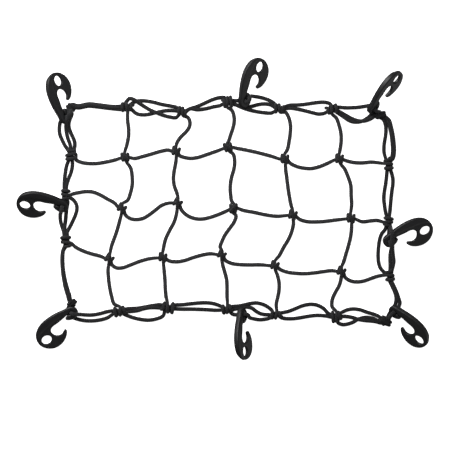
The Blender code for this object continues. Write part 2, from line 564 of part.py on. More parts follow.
def main():
    for old in list(bpy.data.objects):
        bpy.data.objects.remove(old)
    cord = material("elastic_cord", CORD_LOOK)
    plastic = material("hook_plastic", HOOK_LOOK)

    plate = hook_bmesh()
    corners = [vertex.co.copy() for vertex in plate.verts]
    hook_mesh = add_object("hook", plate, plastic)
    places = {name: hook_settled(name, corners) for name in HOOKS}
    for name, place in places.items():
        hook = bpy.data.objects.new(name, hook_mesh.data)
        bpy.context.scene.collection.objects.link(hook)
        hook.matrix_world = Matrix.Translation(place.translation * MM) @ place.to_3x3().to_4x4()
    bpy.data.objects.remove(hook_mesh)

    edge = strands(EDGE_STRANDS, places) + [add_object(name, knot(name)) for name in EDGE_KNOTS]
    joined("edge_rope", edge[0], edge[1:], "UNION", cord)
    net = strands(MESH_CORDS, places) + [add_object(name, knot(name)) for name in MESH_KNOTS]
    net = joined("mesh_whole", net[0], net[1:], "UNION", cord)
    clearances = [add_object(name + "_clearance", knot(name, GAP)) for name in EDGE_KNOTS]
    joined("mesh", net, clearances, "DIFFERENCE", cord)


main()
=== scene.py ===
"""Looks of an elastic cargo net with eight moulded hooks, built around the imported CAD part.

The tables are in millimetres, in the part's frame: +X right, +Y to the rear edge, +Z up.
A place is (x, y), or (x, y, z) where a cord's height matters.
"""
import math

import bmesh
import bpy
from mathutils import Matrix, Vector, noise
from mathutils.geometry import delaunay_2d_cdt


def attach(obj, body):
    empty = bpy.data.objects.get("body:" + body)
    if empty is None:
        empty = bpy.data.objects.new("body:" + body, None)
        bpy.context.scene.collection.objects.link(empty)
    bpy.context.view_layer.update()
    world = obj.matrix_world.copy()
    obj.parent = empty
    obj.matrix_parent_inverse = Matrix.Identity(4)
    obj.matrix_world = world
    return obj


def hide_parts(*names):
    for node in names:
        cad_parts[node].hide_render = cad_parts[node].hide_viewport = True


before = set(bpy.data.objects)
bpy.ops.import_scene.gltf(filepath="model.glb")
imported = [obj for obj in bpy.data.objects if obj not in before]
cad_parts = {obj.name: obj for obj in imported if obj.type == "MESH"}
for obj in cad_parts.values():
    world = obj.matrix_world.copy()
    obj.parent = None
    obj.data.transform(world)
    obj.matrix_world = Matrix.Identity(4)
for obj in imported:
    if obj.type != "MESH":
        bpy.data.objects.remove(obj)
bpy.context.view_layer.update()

MM = 0.001

# ------------ cord
CORD_RADIUS = 2.5
KNOT_RADIUS = 2.05      # the cord is drawn thin where it is tied
CORD_SIDES = 16
CORD_STEP = 1.5         # run between two rings of a cord
KNOT_STEP = 0.9         # the same inside a knot
LAST_STEP = 0.3         # the shortest run before the last ring
CORD_LEVEL = 2.2        # height of a cord that lies on the surface, before it is lifted clear of it
OVER_LEVEL = 6.6        # height at which a strand passes over another
CORD_LIFT = 0.1         # how much higher each of three strands in turn lies in its table
CURVE_STEPS = 10        # fewest points read from the curve between two places of a route
THREAD_BEND = 3.5       # radius on which a strand turns away from the curl that it threads
TIED_LEVEL = 4.3        # height of the cords that a knot is tied around
TIED_IN = (-2.5, -0.7)  # where a mesh cord that is tied around comes into its knot
TIED_OUT = 3.2          # how far from the knot's centre it leaves again, along the knot's turn
SLOT = 2.5              # spacing of the strands side by side in a knot
SLOT_RUN = 2.6          # how far from the knot's centre they keep that spacing
KNOT_FULLNESS = 1.07    # how much wider the ties are drawn than the knots' half widths
END_TURN = 0.4          # share of a tie's turn that the cord's way in and way out take
WAVER = 0.02            # how unevenly the sheath swells, as a share of the radius
WAVER_LENGTH = 9.0      # run of cord over which it swells
WAVER_APART = 7.3       # how far apart in the noise two cords read it

# ------------ hook
HOOK_THICK = 7.2        # of the bar that runs from the curl along the back
HEAD_THICK = 4.3        # of the web with the mouth, the beak and the eye
CURL_RADIUS = 7.5
CURL_HOLE = 2.6         # the strand fills it
EYE_MIDDLE = (0.0, 46.3)
EYE_HALF_LONG = 6.6
EYE_HALF_WIDE = 5.2
EYE_LEAN = 20           # degrees
EYE_SIDES = 40
EDGE_ROUND = 1.0        # radius of the web's edges
BAR_ROUND = 1.8         # radius of the bar's edges
ROUND_SHARE = 0.85      # the largest of these radii, as a share of half of the thickness
EDGE_RINGS = (0.12, 0.4, 1.0, 1.8)  # where the rounded edges are sampled, in from the rim
RING_CLEAR = 0.96       # share of that run that a sample keeps from every edge
STEP_WIDTH = 1.4        # run of the step from the bar to the web
STEP_PARTS = 6          # samples along each straight piece of that step
STEP_CLEAR = 1.1        # how far from the edges they begin
RIB_FADE = 5.0          # run over which the step begins at the curl and ends in the head
GRID = 2.0              # spacing of the samples on the faces
GRID_CLEAR = 1.3        # how far from the edges they begin
FULLER = 0.55           # how far the moulding's edge stands out from the lines of its outline
PITCHES = (-25, 35)     # range of a hook's rise from curl to eye, degrees

# name: curl x, y; eye x, y; beak side seen from above (1 right, -1 left); tilt; height of the curl
HOOKS = {
    "hook_rear_left": ((-199.1, 113.6), (-208.3, 158.9), 1, 38, 9.2),
    "hook_rear_mid": ((24.2, 134.0), (42.6, 175.8), 1, 38, 9.2),
    "hook_rear_right": ((184.2, 125.2), (211.2, 159.6), 1, 63, 9.8),
    "hook_left": ((-202.9, 3.2), (-249.4, 4.6), -1, 28, 8.6),
    "hook_right": ((204.7, -40.3), (248.6, -27.3), 1, 18, 9.2),
    "hook_front_left": ((-191.2, -130.0), (-223.8, -165.0), -1, 6, 8.4),
    "hook_front_mid": ((21.4, -132.0), (24.1, -177.5), -1, 58, 9.8),
    "hook_front_right": ((211.8, -128.2), (240.6, -161.6), 1, 43, 9.6),
}

# ------------ knots
# name: centre x, y; half width along x and y; turn of the tie in degrees; 1, or -1 for a mirrored tie
KNOTS = {
    "rear_0": (-191.8, 126.2, 5.2, 7.0, 0, 1),
    "rear_1": (-122.8, 126.8, 6.8, 6.0, 4, 1),
    "rear_2": (-53.2, 120.9, 5.2, 6.6, -6, 1),
    "rear_3": (3.4, 132.8, 5.4, 8.2, 6, -1),
    "rear_4": (67.6, 125.0, 5.6, 6.4, 0, 1),
    "rear_5": (133.9, 123.9, 6.6, 6.6, 8, -1),
    "rear_6": (194.2, 116.6, 6.2, 5.4, -30, 1),
    "left_1": (-192.2, 67.0, 8.0, 6.2, 8, 1),
    "left_2": (-199.0, 17.6, 5.7, 6.0, -5, -1),
    "left_3": (-198.4, -41.6, 7.0, 7.2, 4, -1),
    "left_4": (-191.0, -118.0, 5.2, 5.4, 0, 1),
    "front_1": (-131.6, -128.3, 7.2, 6.7, 10, 1),
    "front_2": (-70.8, -123.6, 7.2, 8.0, -6, -1),
    "front_3": (2.2, -125.6, 5.8, 6.2, 5, 1),
    "front_4": (63.4, -133.0, 6.2, 5.4, -4, 1),
    "front_5": (138.4, -135.0, 5.2, 8.2, 5, 1),
    "front_6": (200.9, -140.4, 7.0, 7.8, 20, 1),
    "right_1": (203.9, 55.2, 6.0, 6.6, 4, 1),
    "right_2": (203.6, -16.4, 6.4, 5.4, -8, -1),
    "right_3": (205.6, -84.0, 6.0, 6.2, 6, 1),
    "mesh_11": (-125.0, 64.2, 5.5, 5.6, -3, 1),
    "mesh_21": (-61.5, 71.6, 5.4, 5.9, -20, 1),
    "mesh_31": (3.5, 76.4, 5.6, 5.7, 4, 1),
    "mesh_41": (74.3, 62.0, 5.4, 6.0, -12, 1),
    "mesh_51": (142.5, 62.2, 5.4, 5.9, -13, 1),
    "mesh_12": (-129.2, 0.6, 5.5, 5.9, -40, 1),
    "mesh_22": (-59.6, 7.4, 5.5, 5.9, -44, 1),
    "mesh_32": (10.6, 0.4, 5.3, 6.1, 6, -1),
    "mesh_42": (84.3, -7.8, 5.5, 6.0, -22, 1),
    "mesh_52": (157.0, -12.0, 5.6, 5.8, -10, 1),
    "mesh_13": (-144.8, -62.4, 5.4, 5.7, -44, 1),
    "mesh_23": (-78.0, -60.8, 5.5, 5.6, -16, 1),
    "mesh_33": (-4.4, -57.4, 5.3, 5.5, -40, 1),
    "mesh_43": (61.9, -71.0, 5.4, 5.6, -24, 1),
    "mesh_53": (144.9, -78.4, 5.4, 5.8, -31, 1),
}

# The tie of two mesh cords, as the cord from the rear makes it around the one from the left: along the
# tied cord, across it towards the rear, and height
MESH_TIE = ((-0.6, 5.0, 3.4), (-0.7, 1.8, 6.0), (-1.2, -2.0, 5.9), (-1.9, -4.2, 3.9), (-2.6, -2.2, 1.8),
            (-3.6, 1.6, 1.8), (-3.9, 3.9, 4.2), (-2.6, 2.6, 7.1), (0.2, 0.1, 8.2), (2.7, -2.3, 6.9),
            (3.7, -4.0, 4.0), (3.7, -1.8, 1.8), (3.4, 1.8, 1.8), (3.3, 4.2, 4.0), (2.7, 2.1, 6.0),
            (1.6, -1.2, 5.8), (1.5, -4.6, 3.6))
MESH_TIE_SIZE = (5.5, 5.9)  # its half widths

# The tie of a mesh cord around the strands of the edge: along the edge, outwards across it, and height,
# from the free end to where the cord leaves inwards
EDGE_TIE = ((7.6, 1.9, 3.4), (5.6, 2.2, 6.2), (4.7, -1.4, 7.3), (4.3, -4.4, 4.4), (1.8, -2.6, 1.8),
            (-2.4, 2.8, 1.8), (-4.4, 4.9, 4.6), (-4.7, 2.4, 7.6), (-4.7, -2.2, 7.6), (-4.4, -4.7, 4.4),
            (-3.2, -2.2, 1.8), (-1.2, 2.4, 1.8), (0.0, 4.7, 4.6), (0.4, 2.2, 7.4), (0.8, -1.8, 7.4),
            (1.0, -4.6, 5.0))
EDGE_TIE_SIZE = (6.4, 6.8)

# The tie of a corner: turns of a separate cord around its strands
CORNER_TIE_SIZE = (5.2, 6.0)
CORNER_TIE_TURNS = 2
CORNER_TIE_STEPS = 9    # points on a turn
CORNER_TIE_RUN = 4.8    # from the first turn to the last
CORNER_TIE_END = 3.6    # how far out the tucked ends lie
CORNER_TIE_WIDE = 4.9   # half width of a turn
CORNER_TIE_HIGH = 3.0   # its half height
CORNER_TIE_LEVEL = 4.7  # the height of its middle

# ------------ cords of the mesh
# name: the knots and the places between them that the cord passes
MESH_CORDS = {
    "along_1": ("rear_1", (-121.8, 111), (-120.5, 100), (-120.5, 91), (-122.5, 80), "mesh_11", (-118, 51),
        (-116, 40), (-116, 29), (-118, 20), (-122, 10), "mesh_12", (-131.5, -15), (-134.5, -26),
        (-137.5, -35), (-141.5, -46), "mesh_13", (-146, -75), (-145.5, -87), (-143.6, -101), (-141.6, -110),
        (-138.6, -119), "front_1"),
    "along_2": ("rear_2", (-46.4, 113.8), (-43.8, 107.6), (-45, 101), (-49.5, 95), (-56, 88.5), (-60.5, 81),
        "mesh_21", (-61.5, 58), (-63.5, 47), (-64.5, 38), (-63.5, 29), (-60, 19), "mesh_22", (-60.5, -6),
        (-63.5, -16.5), (-69, -27), (-74.5, -39), (-77, -50), "mesh_23", (-76, -78), (-75, -90),
        (-74.5, -102), (-73.5, -111), "front_2"),
    "along_3": ("rear_3", (8.6, 122.6), (11, 116), (11.5, 109), (10, 101), (7, 92), (4, 83.5), "mesh_31",
        (9.5, 69), (12, 58), (11, 49), (8, 38.5), (6.5, 27), (7, 17), (9, 8), "mesh_32", (13.5, -8),
        (11.5, -16.5), (6, -24.5), (0, -33), (-4, -41.5), (-6, -49), "mesh_33", (-3, -70), (-0.5, -79),
        (2, -89), (2.5, -99), (2.5, -109), "front_3"),
    "along_4": ("rear_4", (75.6, 120.2), (79.6, 113.4), (81.6, 104.6), (81.5, 95), (80, 84), (77.5, 73),
        "mesh_41", (75.5, 51), (77, 39), (78.5, 27), (80.5, 14), (82.5, 4), "mesh_42", (85.5, -18),
        (83.5, -28), (79.5, -38), (73.5, -48), (67.5, -59), "mesh_43", (65.5, -83.5), (67.5, -93),
        (67.5, -101), (66, -110), (64, -119), "front_4"),
    "along_5": ("rear_5", (139, 113), (142.4, 103.8), (144.7, 94), (145, 84), (143.5, 73), "mesh_51",
        (149, 50), (153.5, 40), (157, 29), (157.5, 17), (158, 4), "mesh_52", (158, -24), (157, -34),
        (154.5, -45), (151, -57), (148, -67), "mesh_53", (145, -87), (142.6, -96), (137.4, -105.5),
        (133.8, -114.5), (133.8, -122.8), "front_5"),
    "across_1": ("left_1", (-186, 61), (-179, 57.6), (-170, 56.3), (-160, 56.3), (-149, 58), (-138, 60.5),
        "mesh_11", (-112.5, 62.6), (-103, 65), (-92, 68), (-80, 71.5), (-71, 73), "mesh_21", (-57.6, 67),
        (-50, 63.7), (-42.5, 62.7), (-34, 63.8), (-24, 67), (-11, 71.5), "mesh_31", (16, 75), (30, 72.3),
        (45, 68.8), (58, 65.3), "mesh_41", (80.8, 57.2), (90, 52.4), (100, 50.3), (108, 50), (117, 52),
        (127, 56), "mesh_51", (152, 59.5), (161, 57.5), (171, 57), (182, 58), "right_1"),
    "across_2": ("left_2", (-189.5, 18.4), (-182, 20), (-174, 21.2), (-166, 20.8), (-157, 17.6), (-147, 12),
        (-137.4, 6.4), "mesh_12", (-124.2, -8.2), (-118, -12.6), (-110.5, -13.7), (-103, -12.5), (-95, -8),
        (-87, -2), (-79, 4), "mesh_22", (-54.6, -1.4), (-46.6, -9), (-38, -12.4), (-30, -13.2),
        (-21, -11.7), (-11, -8.5), (0, -4), "mesh_32", (22, -2), (36, -4.7), (50, -7.7), (64, -9.6),
        "mesh_42", (93, -13.4), (102, -16.2), (113, -16.7), (125, -16), (137, -14.5), "mesh_52",
        (172, -16.5), (181, -15.5), (190, -14.8), "right_2"),
    "across_3": ("left_3", (-186, -48.5), (-177, -53), (-167, -56.5), (-156, -59.4), "mesh_13",
        (-141.6, -69.6), (-135, -74.2), (-128, -74), (-119, -70.8), (-108, -66.5), (-96, -63), "mesh_23",
        (-71, -64.8), (-61, -66.5), (-51, -65), (-40, -61.3), (-29, -58.2), (-19, -56.5), "mesh_33",
        (-0.4, -63.6), (8, -68.4), (18, -69.9), (31, -70.4), (45, -70.3), "mesh_43", (67.6, -75.2),
        (77, -79.2), (90, -81), (100, -81.3), (112, -80.3), (124, -78.6), (134, -77.6), "mesh_53",
        (150, -85.8), (157.4, -90.6), (165, -91.6), (173, -90.6), (182, -87.5), (190.5, -84.6), "right_3"),
}

# ------------ strands of the edge
# name: the knots and places that the strand passes, and the hooks whose curls it threads
EDGE_STRANDS = {
    # rear edge, left to right
    "rear_1_a": ("rear_0", (-184, 128.5), (-170, 130.7), (-158, 129.6), (-143, 127.7), "rear_1"),
    "rear_1_b": ("rear_0", (-184, 125.7), (-170, 127.9), (-158, 126.8), (-143, 124.9), "rear_1"),
    "rear_1_c": ("rear_0", (-184, 127.1, 4.1), (-170, 129.3, 4.3), (-158, 128.2, 4.3), (-143, 126.3, 4.1),
        "rear_1"),
    "rear_2_a": ("rear_1", (-123.5, 133), (-119.3, 137.3, 4.4), (-113.5, 135.8, OVER_LEVEL),
        (-108, 132, 4.6), (-101, 127.5), (-92.5, 122.5, 4.4), (-86.5, 119.9, OVER_LEVEL), (-77, 116.3, 3.6),
        (-69, 114.3), (-61, 113.6), "rear_2"),
    "rear_2_b": ("rear_1", (-118.5, 129.5), (-110.5, 134), (-101, 134.5), (-90.5, 133), (-80, 130.3),
        (-69, 128.2), (-60.5, 126.3), "rear_2"),
    "rear_2_c": ("rear_1", (-115.4, 122.6), (-111, 118.8), (-105, 117.2), (-96, 117.5), (-85.5, 120),
        (-75, 122), (-64.5, 122.3), "rear_2"),
    "rear_3_a": ("rear_2", (-44, 124.6), (-34.4, 127.6), (-25, 131.8), (-15.5, 136), (-7, 138.4),
        (0, 138.2), "rear_3"),
    "rear_3_b": ("rear_2", (-44, 124.4), (-34, 123.4), (-23, 124.8), (-14.5, 127), (-7, 128.4), "rear_3"),
    "rear_4_a": ("rear_3", (14.2, 134.6), "hook_rear_mid", (31, 139.2, 11), (37, 139.8, 6),
        (43.8, 138.8, 2.5), (50, 137.2), (56, 134.8), (61, 131.8), "rear_4"),
    "rear_4_b": ("rear_3", (11.5, 130.5), (19, 127.4), (25, 126.2), (32.5, 127.3), (39.5, 129.3),
        (48, 130.6), (56, 129.8), "rear_4"),
    "rear_4_c": ("rear_3", (12.6, 129.8), (19, 127), (27, 124), (38, 121.3), (48, 119.8), (58, 119.4),
        "rear_4"),
    "rear_5_a": ("rear_4", (81, 129), (90, 129.3), (100, 130.2), (110, 131.7), (120, 132.8), (127, 132.4),
        (132, 130), "rear_5"),
    "rear_5_b": ("rear_4", (81, 125.4), (90, 124.2), (100, 122), (110, 119.5), (117, 118), (124, 119),
        "rear_5"),
    "rear_6_a": ("rear_5", (142, 126.6), (151, 125.8), (159.5, 126), (168, 126.6), (175.6, 127.8, 3.2),
        "hook_rear_right", "rear_6"),
    "rear_6_b": ("rear_5", (142, 121.4), (150, 117), (158, 112.6), (166, 109.6, 4.2), (174, 109.2, 6.6),
        (181, 111.5, 5.2), (187, 115.5), "rear_6"),
    "rear_6_c": ("rear_5", (142, 118.6), (149, 113.8), (156.4, 109.2), (163, 107.8), (170, 108.8),
        (177, 112.4), (184, 117.4), "rear_6"),
    # right edge, rear to front
    "right_1_a": ("rear_6", (197.5, 111.5), (200.2, 105), (201, 98), (200.3, 90), (198.8, 81), (198.6, 70),
        "right_1"),
    "right_1_b": ("rear_6", (203.2, 110.5), (206, 101), (208, 90), (209, 80), (209.3, 71), (208, 63),
        "right_1"),
    "right_1_c": ("rear_6", (204.6, 110.6, 4.4), (207.6, 101, 4.2), (210, 89, 3.6), (211.2, 79),
        (211.4, 71), (209.8, 62.6), "right_1"),
    "right_2_a": ("right_1", (202, 44), (201.3, 36.5), (200.2, 28.5), (198.8, 20), (198.3, 12.3),
        (199, 4.7), (200.3, -4), "right_2"),
    "right_2_b": ("right_1", (207.8, 45), (209.6, 37.5), (209.6, 30.4), (208.5, 22.8), (207.6, 15),
        (206.8, 6.4), (206, -3), "right_2"),
    "right_3_a": ("right_2", (200, -26), (196, -31), (193.7, -36.5), (192.2, -44), (191.4, -52),
        (191.2, -60), (191.8, -67.6), (194.4, -74.8), (199, -79.6), "right_3"),
    "right_3_b": ("right_2", (205, -26), "hook_right", (207.3, -48.4, 12.2), (206.8, -52.8, 6.2),
        (206.3, -57.2, 2.4), (206.1, -62), (206.3, -70), "right_3"),
    "right_3_c": ("right_2", (206.6, -25, 9.5), (207.8, -31.5, 17.4), (208.2, -39, 16.4),
        (208.4, -46.5, 13.8), (209, -53, 8), (210, -59, 3.4), (210.8, -65), "right_3"),
    "right_4_a": ("right_3", (206.4, -92), (209.5, -98.6), (212.4, -105.4), (213.8, -112), (213, -118.6),
        (209.2, -125.8), (204.6, -132.4), "front_6"),
    "right_4_b": ("right_3", (208, -91.4, 6), (211.1, -98, 6.8), (214.2, -104.8, 6.4), (216.6, -111.6, 4.4),
        (218.4, -118), "hook_front_right", "front_6"),
    # front edge, left to right
    "front_1_a": ("left_4", (-191.4, -120.5, 2.6), (-191.3, -124, 2.4), "hook_front_left",
        (-184.8, -132, 10.5), (-180, -132.2, 5), (-174.5, -132.8), (-167, -133), (-158.5, -131.8),
        (-146, -128.6), "front_1"),
    "front_1_b": ("left_4", (-195, -122.4), (-196.6, -128.5), (-194.6, -133.6), (-188.5, -136.6),
        (-180, -139.2), (-171, -140.3), (-160, -139.8), (-148, -137), "front_1"),
    "front_2_a": ("front_1", (-120, -125), (-110, -124.6), (-100, -123), (-90, -121.2), (-81, -120.2),
        "front_2"),
    "front_2_b": ("front_1", (-120, -128.6), (-110, -127.6, 3.4), (-100, -124.7, 4.4), (-90, -123.6, 3.4),
        (-81, -124), "front_2"),
    "front_2_c": ("front_1", (-126, -132), (-116.7, -135.7), (-106.3, -138.3), (-96, -139.4),
        (-85.5, -137.8), (-77.5, -134.2), "front_2"),
    "front_3_a": ("front_2", (-64, -120.8), (-54, -120.2), (-44, -119.1), (-33, -118), (-23, -117.7),
        (-14.5, -118.7), (-6, -121.6), "front_3"),
    "front_3_b": ("front_2", (-64, -125.2), (-54, -125.7), (-44, -125.7), (-33, -125.9), (-23, -126.3),
        (-12.5, -127), "front_3"),
    "front_4_a": ("front_3", (9, -122.4), (18, -121.6), (26, -119.9), (33, -118.4), (40, -118),
        (47, -119.6), (53, -122.6), (58.4, -127), "front_4"),
    "front_4_b": ("front_3", (9.4, -126), (18, -124.4), (26, -123), (33.5, -124.4), (39.5, -128.8),
        (46, -131.8), (54, -132.6), "front_4"),
    "front_4_c": ("front_3", (8.8, -131.6), "hook_front_mid", (30.6, -136, 7.4), (35.6, -137.6, 3.2),
        (42, -138.8), (52, -138), "front_4"),
    "front_5_a": ("front_4", (71, -130.2), (79, -128.5), (88, -125), (98, -121.1), (107.5, -119.6),
        (115.5, -120.8), (123, -124.8), (129.6, -131.4), "front_5"),
    "front_5_b": ("front_4", (71, -136.6), (81, -137.7), (91, -136.9), (99, -135.5), (107.5, -134.1),
        (116, -133.4), (126, -134.2), "front_5"),
    "front_6_a": ("front_5", (146, -129.6), (155, -126), (162, -125.5), (169, -126.6), (177, -129.4),
        (185.5, -132), (192, -134.8), "front_6"),
    "front_6_b": ("front_5", (150, -134.8), (159.5, -136.2), (166.5, -138.4, 3.6), (175, -139.8, 3.6),
        (185.5, -140.8), "front_6"),
    "front_6_c": ("front_5", (140.8, -142.2), (146.6, -145), (152.5, -144.4), (159.5, -142.2),
        (166, -138.4), (173.5, -136.2), (183, -136.8), "front_6"),
    # left edge, rear to front
    "left_1_a": ("rear_0", (-191.6, 120.6, 11.4), "hook_rear_left", (-206, 107.2, 3), (-206.9, 101),
        (-206.4, 93), (-203.6, 86), (-200.4, 79.4), (-196, 72.8), "left_1"),
    "left_1_b": ("rear_0", (-194.2, 118.2, 12.2), (-196.6, 110.8, 13.4), (-198.3, 103.6, 6.4), (-198.2, 96),
        (-196.4, 88), (-193.4, 79.5), "left_1"),
    "left_1_c": ("rear_0", (-190.8, 117.6, 9.4), (-193.4, 110.4, 10.6), (-195, 103.2, 4.6), (-193.2, 96),
        (-189.6, 88.2), (-187.6, 82), (-188, 75.6), "left_1"),
    "left_2_a": ("left_1", (-197.4, 55), (-199.4, 45), (-200.4, 36), (-200.8, 27), "left_2"),
    "left_2_b": ("left_1", (-190.5, 54), (-192.3, 45), (-195.6, 36.5), (-198, 28, 3.6), "left_2"),
    "left_3_a": ("left_2", "hook_left", (-205, -6.6, 10.8), (-205.6, -11.4, 5.6), (-205.2, -17, 2.4),
        (-203.4, -23), (-202, -27), "left_3"),
    "left_3_b": ("left_2", (-196.4, 8.4), (-197.6, 1), (-198.4, -6.4), (-199.2, -15.4), (-200.4, -25, 3.8),
        "left_3"),
    "left_3_c": ("left_2", (-193.5, 13.5), (-188.6, 10), (-185.4, 4.5), (-185, -1.5), (-186.8, -8),
        (-190, -15.4), (-193.6, -22.8), (-197, -30, 4.2), "left_3"),
    "left_4_a": ("left_3", (-202.6, -53), (-203.5, -61), (-203.3, -71), (-202.4, -81), (-200.8, -91),
        (-199, -100), (-196.6, -108), "left_4"),
    "left_4_b": ("left_3", (-201.8, -53, 5.6), (-202.5, -61, 6.8), (-202.2, -71, 6.8), (-201.1, -81, 6.4),
        (-199.2, -91, 5.2), (-196.8, -100, 4.2), (-194.2, -108, 4), "left_4"),
}


# ------------ where a knot's tie lies
HALF = math.sqrt(0.5)
EDGE_AXES = {  # of each side: along the edge, and outwards across it
    "rear": ((1, 0), (0, 1)),
    "front": ((1, 0), (0, -1)),
    "left": ((0, 1), (-1, 0)),
    "right": ((0, 1), (1, 0)),
}
CORNER_AXES = {
    "rear_0": ((HALF, HALF), (-HALF, HALF)),
    "rear_6": ((HALF, -HALF), (HALF, HALF)),
    "left_4": ((HALF, -HALF), (-HALF, -HALF)),
    "front_6": ((HALF, HALF), (HALF, -HALF)),
}
MESH_AXES = ((1, 0), (0, 1))


def knot_axes(name):
    """The directions along and across the cords that a knot ties, in the plane."""
    if name in CORNER_AXES:
        return CORNER_AXES[name]
    return EDGE_AXES.get(name.split("_")[0], MESH_AXES)


def tie_points(name, tie, size):
    """The points of a tie at its knot, scaled to the knot's half widths and turned with it."""
    x, y, half_x, half_y, turn, mirror = KNOTS[name]
    along, across = (Vector((*axis, 0)) for axis in knot_axes(name))
    halves = (half_x, half_y) if abs(along.x) > abs(along.y) else (half_y, half_x)
    half_along, half_across = (half * KNOT_FULLNESS for half in halves)
    points = []
    for index, (s, t, z) in enumerate(tie):
        offset = along * (s * mirror * half_along / size[0]) + across * (t * half_across / size[1])
        share = END_TURN if index in (0, len(tie) - 1) else 1.0
        spin = Matrix.Rotation(math.radians(turn * share), 3, "Z")
        points.append(Vector((x, y, z)) + spin @ offset)
    return points


def corner_tie():
    """Two turns of cord around the strands of a corner, with both ends tucked in."""
    points = [(-CORNER_TIE_END, 0.0, TIED_LEVEL)]
    count = CORNER_TIE_TURNS * CORNER_TIE_STEPS
    for i in range(count + 1):
        angle = 2 * math.pi * i / CORNER_TIE_STEPS
        along = CORNER_TIE_RUN * (i / count - 0.5)
        up = CORNER_TIE_LEVEL - CORNER_TIE_HIGH * math.cos(angle)
        points.append((along, CORNER_TIE_WIDE * math.sin(angle), up))
    points.append((CORNER_TIE_END, 0.0, TIED_LEVEL))
    return points


# ------------ routes
def turned_out(place, normal, target):
    """Points that leave the curl along its normal and turn towards the target on a small arc."""
    leave = place + normal * HOOK_THICK / 2
    heading = target - leave
    sideways = (heading - normal * heading.dot(normal)).normalized()
    bend = min(normal.angle(heading), math.pi / 2)
    arc_points = []
    for angle in (bend / 2, bend):
        offset = normal * math.sin(angle) + sideways * (1 - math.cos(angle))
        arc_points.append(leave + offset * THREAD_BEND)
    return arc_points


def thread(place, before, after):
    """Points through a hook's curl, entering by the face that is nearer to the point before it."""
    middle = place.translation
    normal = place.col[2].to_3d()
    if (middle - normal * HOOK_THICK - before).length < (middle + normal * HOOK_THICK - before).length:
        normal = -normal
    return turned_out(middle, normal, before)[::-1] + [middle] + turned_out(middle, -normal, after)


def free_point(stop, level):
    """A place of a route, at its own height or at the level of a cord that lies on the surface."""
    return Vector(stop) if len(stop) == 3 else Vector((*stop, level))


def edge_slots():
    """Where each end of each edge strand runs into its knot: the strands lie side by side there."""
    sides = {}
    for name, route in EDGE_STRANDS.items():
        for knot, neighbour, end in ((route[0], route[1], 0), (route[-1], route[-2], -1)):
            if neighbour in HOOKS:
                neighbour = HOOKS[neighbour][0]
            along, across = (Vector(axis) for axis in knot_axes(knot))
            away = Vector(neighbour[:2]) - Vector(KNOTS[knot][:2])
            side = 1 if away.dot(along) > 0 else -1
            sides.setdefault((knot, side), []).append((away.dot(across), name, end))
    slots = {}
    for (knot, side), found in sides.items():
        along, across = (Vector((*axis, 0)) for axis in knot_axes(knot))
        middle = Vector((*KNOTS[knot][:2], TIED_LEVEL))
        for index, (_, name, end) in enumerate(sorted(found)):
            shift = across * SLOT * (index - (len(found) - 1) / 2)
            slots[name, end] = [middle + shift + along * side * run for run in (0.0, SLOT_RUN)]
    return slots


def edge_points(name, route, slots, places, level):
    """The points of an edge strand, and for each the cord's radius there."""
    points = list(slots[name, 0])
    last = slots[name, -1][::-1]
    inner = route[1:-1]
    for index, stop in enumerate(inner):
        if stop in places:
            after = free_point(inner[index + 1], level) if index + 1 < len(inner) else last[0]
            points += thread(places[stop], points[-1], after)
        else:
            points.append(free_point(stop, level))
    points += last
    return points, [KNOT_RADIUS] * 2 + [CORD_RADIUS] * (len(points) - 4) + [KNOT_RADIUS] * 2


def mesh_points(name, route, level):
    """The points of a mesh cord: one that runs to the front ties each knot, one across is tied."""
    points, radii = [], []
    for index, stop in enumerate(route):
        if not isinstance(stop, str):
            found, radius = [free_point(stop, level)], CORD_RADIUS
        elif stop.startswith("mesh_"):
            radius = KNOT_RADIUS
            if name.startswith("along"):
                found = tie_points(stop, MESH_TIE, MESH_TIE_SIZE)
            else:
                x, y, _, _, turn, _ = KNOTS[stop]
                ahead = Matrix.Rotation(math.radians(turn), 3, "Z") @ Vector((TIED_OUT, 0, 0))
                found = [Vector((x + TIED_IN[0], y + TIED_IN[1], TIED_LEVEL)),
                         Vector((x, y, TIED_LEVEL)) + ahead]
        else:
            radius = KNOT_RADIUS
            found = tie_points(stop, EDGE_TIE, EDGE_TIE_SIZE)
            if index > 0:
                found = found[::-1]
        points += found
        radii += [radius] * len(found)
    return points, radii


def heading_at(before, here, after):
    """The curve's direction at a point, which leans to the nearer neighbour's."""
    arriving, leaving = here - before, after - here
    return (arriving.normalized() * leaving.length + leaving.normalized() * arriving.length) / (
        arriving.length + leaving.length)


def tightness(radius):
    """0 where a cord runs free, 1 where it is tied."""
    return (CORD_RADIUS - radius) / (CORD_RADIUS - KNOT_RADIUS)


def on_curve(start, end, leave, arrive, t):
    """A place on the cubic from one point to the next, by the directions at its ends."""
    return (start * (1 + 2 * t) * (1 - t) ** 2 + end * t * t * (3 - 2 * t)
            + leave * t * (1 - t) ** 2 - arrive * t * t * (1 - t))


